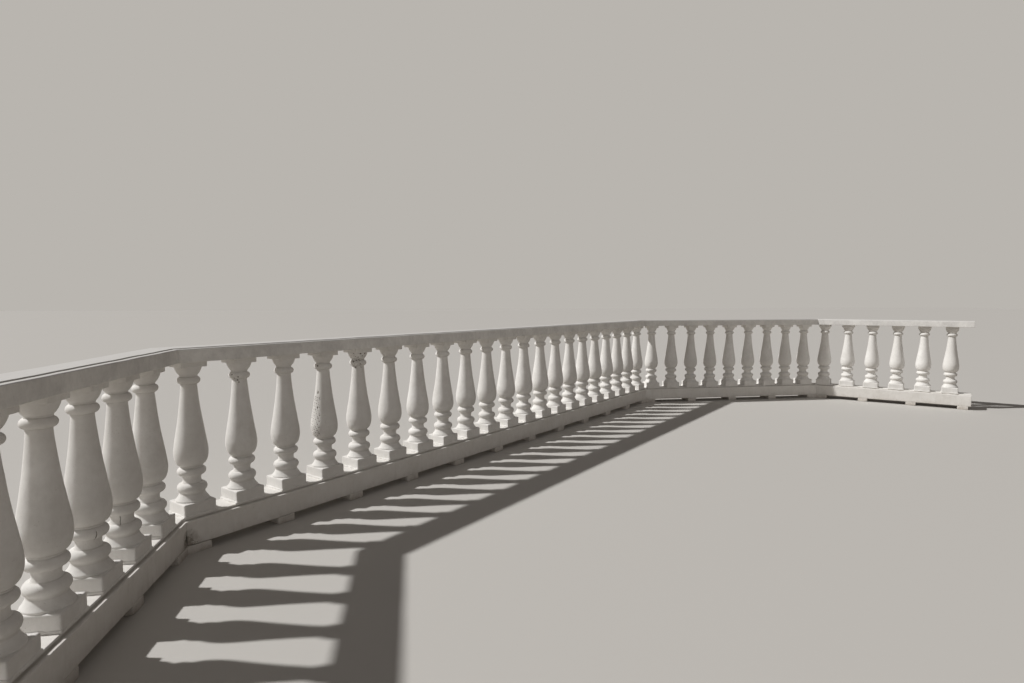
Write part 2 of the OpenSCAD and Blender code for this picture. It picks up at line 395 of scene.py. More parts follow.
@dataclass(frozen=True)
class Unevenness:
    """How far a hand-made surface wanders from its true shape."""

    lump: float = 0.0008
    lump_size: float = 0.09
    ripple: float = 0.0003
    ripple_size: float = 0.022
    chip: float = 0.0
    chip_size: float = 0.03
    chip_chance: float = 0.3
    chip_from: float = 0.3
    chip_gain: float = 1.6

    def apply(self, bm: bmesh.types.BMesh) -> None:
        """Moves each vertex along its normal, and bites small chips out of worn arrises.

        Args:
            bm: The mesh, with its relief marked.
        """
        bm.normal_update()
        edge = bm.verts.layers.float[EDGE]
        moves = []
        for v in bm.verts:
            p = v.co
            away = self.lump * noise.noise(p / self.lump_size)
            away += self.ripple * noise.noise(p / self.ripple_size + RIPPLE_SHIFT)
            if self.chip and v[edge] > self.chip_from:
                bite = noise.noise(p / self.chip_size + CHIP_SHIFT) - 1.0 + 2 * self.chip_chance
                away -= self.chip * max(0.0, bite) * min(1.0, v[edge] * self.chip_gain)
            moves.append(v.normal * away)
        for v, move in zip(bm.verts, moves):
            v.co += move


def layer(bm: bmesh.types.BMesh, name: str) -> bmesh.types.BMLayerItem:
    """Returns the vertices' values of that name, made where there are none yet."""
    return bm.verts.layers.float.get(name) or bm.verts.layers.float.new(name)


def mark_relief(bm: bmesh.types.BMesh, strength: float = 2.6) -> None:
    """Writes how sharp each vertex's edge or hollow is, for the finishes to read.

    Args:
        bm: The mesh, whose vertices get the edge and crease values.
        strength: Factor from the turn of the surface to a value of 0 to 1.
    """
    edge, crease = layer(bm, EDGE), layer(bm, CREASE)
    bm.normal_update()
    bm.verts.index_update()
    neighbours = [[e.other_vert(v) for e in v.link_edges] for v in bm.verts]
    sharp = []
    for v, near in zip(bm.verts, neighbours):
        turn = sum(v.normal.dot((v.co - o.co).normalized()) for o in near)
        sharp.append(strength * turn / max(1, len(near)))
    for v, near in zip(bm.verts, neighbours):
        around = sum(sharp[o.index] for o in near) / max(1, len(near))
        value = 0.5 * sharp[v.index] + 0.5 * around
        v[edge] = min(1.0, max(0.0, value))
        v[crease] = min(1.0, max(0.0, -value))


def set_value(bm: bmesh.types.BMesh, name: str, value: float) -> None:
    """Gives every vertex the same value of one attribute.

    Args:
        bm: The mesh.
        name: The attribute's name.
        value: Its value.
    """
    values = layer(bm, name)
    for v in bm.verts:
        v[values] = value


def even_cuts(low: float, high: float, step: float) -> list[float]:
    """Returns the places that divide low..high into equal parts of about step."""
    parts = max(1, round((high - low) / step))
    return [low + (high - low) * i / parts for i in range(1, parts)]


def slice_evenly(bm: bmesh.types.BMesh, step: float) -> None:
    """Cuts a mesh across each axis into equal cells.

    Args:
        bm: The mesh.
        step: About the size of a cell.
    """
    for axis in range(3):
        low = min(v.co[axis] for v in bm.verts)
        high = max(v.co[axis] for v in bm.verts)
        normal = Vector((axis == 0, axis == 1, axis == 2))
        for place in even_cuts(low, high, step):
            bmesh.ops.bisect_plane(bm, geom=[*bm.verts, *bm.edges, *bm.faces], dist=CUT_MARGIN,
                                   plane_co=normal * place, plane_no=normal)


def round_arrises(bm: bmesh.types.BMesh, radius: float, segments: int = 2, angle: float = 35.0) -> None:
    """Rounds every edge where the faces turn sharply.

    Args:
        bm: The mesh.
        radius: Radius of the rounding.
        segments: How many faces it has.
        angle: The least turn that counts, in degrees.
    """
    sharp = [e for e in bm.edges if len(e.link_faces) == 2 and e.calc_face_angle() > math.radians(angle)]
    bmesh.ops.bevel(bm, geom=sharp, offset=radius, segments=segments, profile=0.5,
                    affect="EDGES", material=-1, clamp_overlap=True)


def block(size: Triple, base: Vector, radius: float, step: float) -> bmesh.types.BMesh:
    """Makes a block with worn arrises, cut into cells.

    Args:
        size: Its width, depth and height.
        base: The middle of its underside.
        radius: Radius of the arrises.
        step: Size of the cells.

    Returns:
        The block's mesh.
    """
    bm = bmesh.new()
    bmesh.ops.create_cube(bm, size=1.0)
    bmesh.ops.scale(bm, vec=Vector(size), verts=bm.verts)
    bmesh.ops.translate(bm, vec=base + Vector((0, 0, size[2] / 2)), verts=bm.verts)
    slice_evenly(bm, step)
    round_arrises(bm, radius, segments=3)
    return bm


def merge(into: bmesh.types.BMesh, part: bmesh.types.BMesh) -> None:
    """Adds a part's mesh to another one and frees the part.

    Args:
        into: The mesh that grows.
        part: The mesh that it takes up.
    """
    carrier = bpy.data.meshes.new("carrier")
    part.to_mesh(carrier)
    part.free()
    into.from_mesh(carrier)
    bpy.data.meshes.remove(carrier)


def show(name: str, data: bpy.types.ID) -> bpy.types.Object:
    """Adds an object to the scene.

    Args:
        name: Its name.
        data: Its mesh, camera or light.

    Returns:
        The object.
    """
    made = bpy.data.objects.new(name, data)
    bpy.context.scene.collection.objects.link(made)
    return made


def dress(bm: bmesh.types.BMesh, node: str, slot: Slot, material: bpy.types.Material) -> bpy.types.Object:
    """Makes the finished piece that stands for a CAD node.

    Args:
        bm: The piece's mesh in the row frame, which is freed.
        node: The CAD node that it replaces.
        slot: The record's slot of its finish; not used.
        material: Its finish.

    Returns:
        The piece.
    """
    bmesh.ops.recalc_face_normals(bm, faces=bm.faces)
    for f in bm.faces:
        f.smooth = True
    mesh = bpy.data.meshes.new(f"painted_{node}")
    bm.to_mesh(mesh)
    bm.free()
    mesh.materials.append(material)
    piece = show(mesh.name, mesh)
    shading = piece.modifiers.new("even shading", "WEIGHTED_NORMAL")
    shading.weight = 60
    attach(piece, "root")
    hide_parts(node)
    LOG.info("%s: %d faces", piece.name, len(mesh.polygons))
    return piece


# Plan


@dataclass(frozen=True)
class Run:
    """One straight run, measured along the centreline of its balusters."""

    length: float
    balusters: int
    first: float
    last: float
    feet: int
    foot_first: float
    foot_last: float

    def baluster_places(self) -> list[float]:
        """Returns how far along the run each baluster's axis stands."""
        pitch = (self.length - self.first - self.last) / (self.balusters - 1)
        return [self.first + k * pitch for k in range(self.balusters)]

    def foot_places(self) -> list[float]:
        """Returns how far along the run the middle of each foot lies."""
        pitch = (self.length - self.foot_first - self.foot_last) / (self.feet - 1)
        return [self.foot_first + k * pitch for k in range(self.feet)]


@dataclass
class Plan:
    """Where the four runs lie in the row frame."""

    # Length, then the balusters with the first and last ones' distance from the run's ends, then the feet
    runs: tuple[Run, ...] = (
        Run(2.450, 10, 0.121, 0.178, 5, 0.129, 0.525),
        Run(5.110, 21, 0.112, 0.118, 10, 0.536, 0.511),
        Run(2.170, 9, 0.129, 0.155, 3, 0.585, 0.598),
        Run(1.490, 6, 0.100, 0.185, 3, 0.512, 0.070),
    )
    bend: float = math.radians(45)
    rail_width: float = 0.182
    foot_height: float = 0.037
    baluster_seat: float = 0.160
    hand_seat: float = 0.856

    def heading(self, r: int) -> float:
        """Returns the direction in which run r goes, in radians from +X."""
        return math.pi / 2 - self.bend * r

    def along(self, r: int) -> Vector:
        """Returns the direction of run r."""
        return Vector((math.cos(self.heading(r)), math.sin(self.heading(r)), 0))

    def outward(self, r: int) -> Vector:
        """Returns the direction at run r towards the outside of the bends."""
        return Vector((-math.sin(self.heading(r)), math.cos(self.heading(r)), 0))

    def corner(self, c: int) -> Vector:
        """Returns corner c of the centreline, before the plan is centred."""
        return sum((self.along(r) * self.runs[r].length for r in range(c)), Vector((0, 0, 0)))

    def is_bend(self, c: int) -> bool:
        """Returns whether corner c is a bend and not an end."""
        return 0 < c < len(self.runs)

    def mitre(self, c: int) -> float:
        """Returns how far a mitre at corner c runs out for each unit of width."""
        return math.tan(self.bend / 2) if self.is_bend(c) else 0.0

    def middle(self) -> Vector:
        """Finds the middle of the bottom rail's box, which is the frame's origin.

        Returns:
            The middle, before the plan is centred.
        """
        points = []
        for c in range(len(self.runs) + 1):
            if self.is_bend(c):
                reach = (self.outward(c - 1) + self.outward(c)).normalized()
                reach *= self.rail_width / 2 / math.cos(self.bend / 2)
            else:
                reach = self.outward(min(c, len(self.runs) - 1)) * self.rail_width / 2
            points += [self.corner(c) + reach, self.corner(c) - reach]
        middles = [(min(p[i] for p in points) + max(p[i] for p in points)) / 2 for i in range(2)]
        return Vector((*middles, 0))

    def place(self, r: int) -> Matrix:
        """Returns the matrix from run r's own frame, along +X with +Y outward, to the row frame."""
        return Matrix.Translation(self.corner(r) - self.middle()) @ Matrix.Rotation(self.heading(r), 4, "Z")


# Balusters


@dataclass(frozen=True)
class Wear:
    """One damaged place on a baluster."""

    decay: Decay
    bearing: float
    height: float
    reach: float
    spread: float = 35.0
    specks: int = 0
    speck: float = 0.004
    holes: tuple[Triple, ...] = ()
    scatter_across: float = 0.8
    scatter_up: float = 0.9
    smallest: float = 0.4

    def facing(self) -> Vector:
        """Returns the direction in which the place looks."""
        return Vector((math.cos(math.radians(self.bearing)), math.sin(math.radians(self.bearing)), 0))

    def share(self, p: Vector, widen: float = 1.0) -> float:
        """Returns how far inside the place a point lies, 1 at its middle and below 0 outside.

        Args:
            p: The point, on the shaft's own axis.
            widen: Factor on the place's size.

        Returns:
            The share.
        """
        flat = Vector((p.x, p.y, 0))
        if flat.length < ON_AXIS:
            return -1.0
        return 1 - math.hypot(math.degrees(flat.angle(self.facing())) / self.spread,
                              (p.z - self.height) / self.reach) / widen

    def small_holes(self) -> list[Triple]:
        """Lists the small holes in the place: the measured ones, and then the scattered specks.

        Returns:
            The bearing, height and radius of each.
        """
        made = [(self.bearing + aside, height, radius) for aside, height, radius in self.holes]
        for i in range(self.specks):
            across, up, size = (math.modf(start + i * turn)[0] for start, turn in SCATTER)
            made.append((self.bearing + self.scatter_across * self.spread * (2 * across - 1),
                         self.height + self.scatter_up * self.reach * (2 * up - 1),
                         self.speck * (self.smallest + (1 - self.smallest) * size ** 2)))
        return made


@dataclass(frozen=True)
class Carver:
    """Cuts cracks, pits and small holes into a shaft, and marks them for the finish to darken with dirt and
    painted shade.
    """

    # A size or depth is in metres, a taper or fade is a factor, and each dark value sets the finish's dirt
    # and painted shade in the hollow
    cell: float = 0.0019
    cell_radius: float = 0.055
    margin: float = 1.25
    crack_cell: float = 0.0007
    crack_half: float = 0.0019
    crack_depth: float = 0.0034
    crack_wander: float = 0.0016
    crack_wave: float = 0.011
    crack_taper: float = 2.5
    crack_shade_and_dirt: float = 2.1
    pit_size: float = 0.0085
    pit_depth: float = 0.0040
    pit_bias: float = 0.10
    pit_shade_and_dirt: float = 1.4
    hole_depth: float = 0.55
    hole_rim: float = 0.0008
    hole_rim_size: float = 0.002
    hole_shade_and_dirt: float = 2.0
    hole_fade: float = 1.2

    def refine(self, bm: bmesh.types.BMesh, wear: Wear) -> None:
        """Cuts the faces round a damaged place into small cells.

        Args:
            bm: The shaft, on its own axis.
            wear: The damaged place.
        """
        def near() -> list[Any]:
            """Returns the faces that the damage reaches, with their edges and vertices."""
            faces = [f for f in bm.faces if wear.share(f.calc_center_median(), self.margin) > 0]
            return [*faces, *{e for f in faces for e in f.edges}, *{v for f in faces for v in f.verts}]

        step = self.crack_cell if wear.decay is Decay.CRACKED else self.cell
        for place in even_cuts(wear.height - wear.reach, wear.height + wear.reach, step):
            bmesh.ops.bisect_plane(bm, geom=near(), dist=CUT_MARGIN, plane_co=(0, 0, place),
                                   plane_no=(0, 0, 1))
        middle, width = math.radians(wear.bearing), math.radians(wear.spread)
        for turn in even_cuts(middle - width, middle + width, step / self.cell_radius):
            bmesh.ops.bisect_plane(bm, geom=near(), dist=CUT_MARGIN, plane_co=(0, 0, 0),
                                   plane_no=(-math.sin(turn), math.cos(turn), 0))

    def crack(self, bm: bmesh.types.BMesh, wear: Wear) -> None:
        """Opens an upright crack that wanders, and closes at its ends.

        Args:
            bm: The shaft, on its own axis.
            wear: The damaged place.
        """
        patch = layer(bm, WEAR_AND_HOLE_SHADE)
        facing = wear.facing()
        aside = Vector((-facing.y, facing.x, 0))
        for v in bm.verts:
            wander = self.crack_wander * noise.noise(Vector((wear.bearing, 0, v.co.z / self.crack_wave)))
            off = abs(v.co.dot(aside) - wander)
            tall = 1 - abs(v.co.z - wear.height) / wear.reach
            if v.co.dot(facing) > 0 and off < self.crack_half and tall > 0:
                depth = (1 - off / self.crack_half) * min(1.0, self.crack_taper * tall)
                v.co -= facing * self.crack_depth * depth
                # Painted shade and dirt along the crack
                v[patch] = max(v[patch], self.crack_shade_and_dirt * depth)

    def pit(self, bm: bmesh.types.BMesh, wear: Wear) -> None:
        """Eats an uneven hollow into the surface.

        Args:
            bm: The shaft, on its own axis.
            wear: The damaged place.
        """
        patch = layer(bm, WEAR_AND_HOLE_SHADE)
        for v in bm.verts:
            share = min(1.0, 2 * wear.share(v.co))
            if share > 0:
                rough = noise.noise(v.co / self.pit_size + Vector((wear.bearing, 0, 0))) + self.pit_bias
                v.co -= v.normal * self.pit_depth * max(0.0, rough) * share
                # Painted shade and dirt in the pit
                v[patch] = max(v[patch], share * max(0.0, self.pit_shade_and_dirt * rough))

    def hole(self, bm: bmesh.types.BMesh, middle: Vector, radius: float) -> None:
        """Sinks a small round hole with a ragged rim.

        Args:
            bm: The shaft, on its own axis.
            middle: The hole's middle, on the surface.
            radius: Its radius.
        """
        patch = layer(bm, WEAR_AND_HOLE_SHADE)
        for v in bm.verts:
            gap = (v.co - middle).length + self.hole_rim * noise.noise(v.co / self.hole_rim_size)
            if gap < radius:
                v.co -= v.normal * self.hole_depth * radius * (1 - (gap / radius) ** 2)
                # Painted shade and dirt in the hole, fading towards its rim
                v[patch] = max(v[patch], self.hole_shade_and_dirt - self.hole_fade * gap / radius)

    def carve(self, bm: bmesh.types.BMesh, wear: Wear, radius_at: Callable[[float], float]) -> None:
        """Works one damaged place into a shaft.

        Args:
            bm: The shaft, on its own axis.
            wear: The damaged place.
            radius_at: Gives the shaft's radius at a height.
        """
        self.refine(bm, wear)
        bm.normal_update()
        if wear.decay is Decay.CRACKED:
            self.crack(bm, wear)
        elif wear.decay is Decay.PITTED:
            self.pit(bm, wear)
        for bearing, height, radius in wear.small_holes():
            turn, out = math.radians(bearing), radius_at(height)
            self.hole(bm, Vector((out * math.cos(turn), out * math.sin(turn), height)), radius)


@dataclass
class Baluster:
    """One cast baluster: plinth, turned shaft and abacus, with its mortar bed."""

    plinth_width: float = 0.144
    plinth_height: float = 0.058
    skirt_radius: float = 0.070
    skirt_rim: float = 0.006
    skirt_height: float = 0.028
    skirt_top_radius: float = 0.053
    skirt_top: float = 0.003
    lower_ring_radius: float = 0.063
    lower_ring: float = 0.044
    ring_buried: int = 2
    hollow_radius: float = 0.038
    hollow: float = 0.034
    upper_ring_radius: float = 0.0605
    upper_ring: float = 0.038
    belly_foot_radius: float = 0.047
    belly_foot: float = 0.009
    belly_radius: float = 0.0725
    belly: float = 0.060
    neck_radius: float = 0.034
    neck: float = 0.305
    neck_top: float = 0.008
    bead_radius: float = 0.0485
    bead: float = 0.034
    cap_fillet_radius: float = 0.037
    cap_fillet: float = 0.006
    bell_radius: float = 0.0565
    bell: float = 0.038
    abacus_width: float = 0.116
    abacus_height: float = 0.025
    mortar_lip: float = 0.004
    mortar_side: float = 0.003
    mortar_height: float = 0.014
    mortar_sunk: float = 0.004
    lap: float = 0.002
    # Where a curve leans: in and up from the skirt's foot, and out and down from its top, in metres,
    # and for the neck and the bell as shares of their spread and height
    skirt_bow: tuple[Point, Point] = ((0.0075, 0.008), (0.005, 0.012))
    neck_bow: tuple[Point, Point] = ((1.0, 0.14), (0.36, 0.42))
    bell_bow: tuple[Point, Point] = ((0.42, 0.2), (0.86, 0.6))
    arris: float = 0.0022
    arris_turn: float = 38.0
    plinth_arris: float = 0.0060
    plinth_cell: float = 0.0135
    abacus_arris: float = 0.0025
    abacus_cell: float = 0.0125
    mortar_arris: float = 0.0055
    mortar_cell: float = 0.0105
    steps: int = 46
    worn_steps: int = 72
    curve_steps: int = 8
    neck_steps: int = 20
    relief_gain: float = 3.0
    tone_wave: float = 3.7
    tone_middle: float = 0.4
    tone_swing: float = 1.4
    carver: Carver = Carver()
    surface: Unevenness = Unevenness(lump=0.0008, lump_size=0.07, ripple=0.00035, ripple_size=0.02)
    square: Unevenness = Unevenness(lump=0.0007, lump_size=0.05, ripple=0.0004, ripple_size=0.016,
                                    chip=0.006, chip_size=0.03, chip_chance=0.3)
    mortar: Unevenness = Unevenness(lump=0.0038, lump_size=0.032, ripple=0.0016, ripple_size=0.011)

    def members(self) -> tuple[float, ...]:
        """Returns the height of each member, from the plinth up to the abacus."""
        return (self.plinth_height, self.skirt_rim, self.skirt_height, self.skirt_top, self.lower_ring,
                self.hollow, self.upper_ring, self.belly_foot, self.belly, self.neck, self.neck_top,
                self.bead, self.cap_fillet, self.bell, self.abacus_height)

    @staticmethod
    def curve(a: Point, b: Point, c: Point, d: Point, steps: int) -> list[Point]:
        """Draws a smooth curve.

        Args:
            a: Its start.
            b: The point that it leans on as it leaves.
            c: The point that it leans on as it arrives.
            d: Its end.
            steps: How many straight parts it has.

        Returns:
            Its points, with both ends.
        """
        points = []
        for i in range(steps + 1):
            t = i / steps
            w = ((1 - t) ** 3, 3 * t * (1 - t) ** 2, 3 * t * t * (1 - t), t ** 3)
            points.append(tuple(sum(k * p[j] for k, p in zip(w, (a, b, c, d))) for j in range(2)))
        return points

    @staticmethod
    def ring(radius: float, height: float, z: float, steps: int = 9) -> list[Point]:
        """Draws a half round ring.

        Args:
            radius: How far it reaches from the axis.
            height: Its height.
            z: The height that it stands on.
            steps: How many straight parts it has.

        Returns:
            Its points, from below.
        """
        half = height / 2
        turns = [math.pi * (i / steps - 0.5) for i in range(steps + 1)]
        return [(radius - half + half * math.cos(a), z + half + half * math.sin(a)) for a in turns]

    def waist(self, z: float) -> list[Point]:
        """Draws the hollow between the two rings.

        Args:
            z: The height at which it starts.

        Returns:
            Its points, without the ends, which the rings have.
        """
        below = self.lower_ring_radius - self.lower_ring / 2
        above = self.upper_ring_radius - self.upper_ring / 2
        points = []
        for i in range(1, self.curve_steps):
            r = below + (above - below) * i / self.curve_steps
            drawn_in = (r - self.hollow_radius) * math.sin(math.pi * i / self.curve_steps)
            points.append((r - drawn_in, z + self.hollow * i / self.curve_steps))
        return points

    def profile(self) -> list[Point]:
        """Draws the turned shaft from the plinth up.

        Returns:
            Its radii and heights, closed to the axis at both ends.
        """
        (z_rim, z_slope, z_skirt_top, z_lower, z_hollow, z_upper, z_foot, _, z_wide, z_neck,
         z_bead, z_fillet, z_bell, z_abacus, _) = accumulate(self.members())
        (rim_in, rim_up), (top_out, top_down) = self.skirt_bow
        skirt = self.curve((self.skirt_radius, z_slope), (self.skirt_radius - rim_in, z_slope + rim_up),
                           (self.skirt_top_radius + top_out, z_skirt_top - top_down),
                           (self.skirt_top_radius, z_skirt_top), self.curve_steps)
        turns = [math.pi / 2 * i / self.curve_steps for i in range(self.curve_steps + 1)]
        swelling = self.belly_radius - self.belly_foot_radius
        swell = [(self.belly_foot_radius + swelling * math.sin(a), z_wide - self.belly * math.cos(a))
                 for a in turns]
        draw_in, spread = self.belly_radius - self.neck_radius, self.bell_radius - self.cap_fillet_radius
        low, high = ((self.neck_radius + out * draw_in, z_wide + up * self.neck) for out, up in self.neck_bow)
        neck = self.curve((self.belly_radius, z_wide), low, high, (self.neck_radius, z_neck), self.neck_steps)
        low, high = ((self.cap_fillet_radius + out * spread, z_bell + up * self.bell)
                     for out, up in self.bell_bow)
        bell = self.curve((self.cap_fillet_radius, z_bell), low, high, (self.bell_radius, z_abacus),
                          self.curve_steps)
        return [(0.0, z_rim - self.lap), (self.skirt_radius, z_rim - self.lap), *skirt,
                (self.skirt_top_radius, z_lower),
                *self.ring(self.lower_ring_radius, self.lower_ring, z_lower)[self.ring_buried:],
                *self.waist(z_hollow), *self.ring(self.upper_ring_radius, self.upper_ring, z_upper),
                (self.belly_foot_radius, z_foot), *swell, *neck[1:], (self.neck_radius, z_bead),
                *self.ring(self.bead_radius, self.bead, z_bead), (self.cap_fillet_radius, z_fillet),
                *bell, (self.bell_radius, z_abacus + self.lap), (0.0, z_abacus + self.lap)]

    def radius_at(self, height: float) -> float:
        """Reads the turned shaft's radius off its profile.

        Args:
            height: The height over the base.

        Returns:
            The radius there.
        """
        points = self.profile()
        for (r0, z0), (r1, z1) in zip(points, points[1:]):
            if z0 <= height <= z1 and z1 > z0:
                return r0 + (r1 - r0) * (height - z0) / (z1 - z0)
        return self.neck_radius

    def shaft(self, steps: int) -> bmesh.types.BMesh:
        """Spins the profile round the axis.

        Args:
            steps: Number of faces round the shaft.

        Returns:
            The shaft's mesh.
        """
        bm = bmesh.new()
        line: list[bmesh.types.BMVert] = []
        for r, z in self.profile():
            if not line or (line[-1].co - Vector((r, 0, z))).length > TOUCHING:
                line.append(bm.verts.new((r, 0, z)))
        for pair in zip(line, line[1:]):
            bm.edges.new(pair)
        corners = [v for v in line[1:-1] if self.turn(v) > math.radians(self.arris_turn)]
        bmesh.ops.bevel(bm, geom=corners, offset=self.arris, segments=2, profile=0.5, affect="VERTICES",
                        material=-1, clamp_overlap=True)
        bmesh.ops.spin(bm, geom=[*bm.verts, *bm.edges], cent=(0, 0, 0), axis=(0, 0, 1), dvec=(0, 0, 0),
                       angle=2 * math.pi, steps=steps, use_merge=True, use_normal_flip=False,
                       use_duplicate=False)
        bmesh.ops.remove_doubles(bm, verts=bm.verts, dist=TOUCHING)
        bmesh.ops.recalc_face_normals(bm, faces=bm.faces)
        return bm

    @staticmethod
    def turn(v: bmesh.types.BMVert) -> float:
        """Returns the angle by which a line turns at one of its vertices."""
        a, b = (e.other_vert(v).co for e in v.link_edges)
        return math.pi - (a - v.co).angle(b - v.co)

    def squares(self) -> list[tuple[bmesh.types.BMesh, Unevenness]]:
        """Makes the plinth, the abacus and the mortar bed.

        Returns:
            Each block on the baluster's own axis, with its surface.
        """
        along, across = (self.plinth_width + 2 * out for out in (self.mortar_lip, self.mortar_side))
        plinth = (self.plinth_width, self.plinth_width, self.plinth_height)
        abacus = (self.abacus_width, self.abacus_width, self.abacus_height)
        under_abacus = Vector((0, 0, sum(self.members()) - self.abacus_height))
        under_mortar = Vector((0, 0, -self.mortar_sunk))
        return [
            (block(plinth, Vector(), self.plinth_arris, self.plinth_cell), self.square),
            (block(abacus, under_abacus, self.abacus_arris, self.abacus_cell), self.square),
            (block((along, across, self.mortar_height), under_mortar, self.mortar_arris, self.mortar_cell),
             self.mortar),
        ]

    def build(self, place: Matrix, wears: list[Wear]) -> bmesh.types.BMesh:
        """Builds the whole baluster.

        Args:
            place: Where its base stands.
            wears: Its damaged places, whose bearings are in the row frame.

        Returns:
            The baluster's mesh in the row frame.
        """
        turned = place.to_euler().z
        bm = self.shaft(self.worn_steps if wears else self.steps)
        set_value(bm, WEAR_AND_HOLE_SHADE, 0.0)
        for wear in wears:
            own = replace(wear, bearing=wear.bearing - math.degrees(turned))
            self.carver.carve(bm, own, self.radius_at)
        bmesh.ops.transform(bm, matrix=place, verts=bm.verts)
        mark_relief(bm, self.relief_gain)
        self.surface.apply(bm)
        for part, surface in self.squares():
            bmesh.ops.transform(part, matrix=place, verts=part.verts)
            mark_relief(part)
            set_value(part, WEAR_AND_HOLE_SHADE, 0.0)
            surface.apply(part)
            merge(bm, part)
        tone = self.tone_middle + self.tone_swing * noise.noise(place.translation * self.tone_wave)
        set_value(bm, TONE, min(1.0, max(0.0, tone)))
        return bm


@dataclass
class BalusterRows:
    """The balusters of every run, two to a bay."""

    plan: Plan
    baluster: Baluster = field(default_factory=Baluster)
    bay: int = 2

    def wears(self) -> dict[tuple[int, int], list[Wear]]:
        """Lists the damaged places that the photograph shows.

        Returns:
            The places on each damaged baluster, by run and baluster, both counted from 0.
        """
        cap_pits = ((-24.0, 0.615, 0.0045), (-12.0, 0.596, 0.0040), (5.0, 0.588, 0.0042),
                    (12.6, 0.604, 0.0042), (16.0, 0.578, 0.0036))
        wide_cap_pits = ((-6.4, 0.6258, 0.0055), (22.0, 0.6253, 0.0050), (-28.0, 0.620, 0.0055),
                         (-64.0, 0.5925, 0.0045), (-18.0, 0.5855, 0.0045), (22.0, 0.6655, 0.0050),
                         (53.0, 0.665, 0.0050), (37.5, 0.651, 0.0042))
        neck_holes = ((10.7, 0.4688, 0.0052), (15.6, 0.388, 0.0052))
        return {
            (0, 7): [Wear(Decay.CRACKED, bearing=-41.5, height=0.186, reach=0.019, spread=7.0)],
            (0, 8): [Wear(Decay.CRACKED, bearing=-75.0, height=0.155, reach=0.022, spread=9.0)],
            (1, 1): [Wear(Decay.PITTED, bearing=-95.0, height=0.594, reach=0.028, spread=34.0,
                          holes=cap_pits)],
            (1, 3): [Wear(Decay.SPECKED, bearing=-133.0, height=0.335, reach=0.125, spread=38.0,
                          specks=120, speck=0.0044, holes=neck_holes),
                     Wear(Decay.SPECKED, bearing=-120.0, height=0.616, reach=0.014, spread=14.0,
                          holes=((0.0, 0.616, 0.0058),))],
            (1, 4): [Wear(Decay.PITTED, bearing=-90.0, height=0.626, reach=0.048, spread=80.0,
                          specks=30, speck=0.0036, holes=wide_cap_pits)],
        }

    def build(self, finish: bpy.types.Material) -> list[bpy.types.Object]:
        """Builds and dresses every bay.

        Args:
            finish: The balusters' material.

        Returns:
            The pieces.
        """
        wears, pieces = self.wears(), []
        for r, run in enumerate(self.plan.runs):
            places = run.baluster_places()
            for first in range(0, run.balusters, self.bay):
                bm = bmesh.new()
                for n in range(first, min(first + self.bay, run.balusters)):
                    foot = Matrix.Translation((places[n], 0, self.plan.baluster_seat))
                    merge(bm, self.baluster.build(self.plan.place(r) @ foot, wears.get((r, n), [])))
                node = f"balusters_{r + 1}_{first // self.bay + 1}"
                pieces.append(dress(bm, node, Slot.BALUSTER, finish))
        return pieces


# Rails


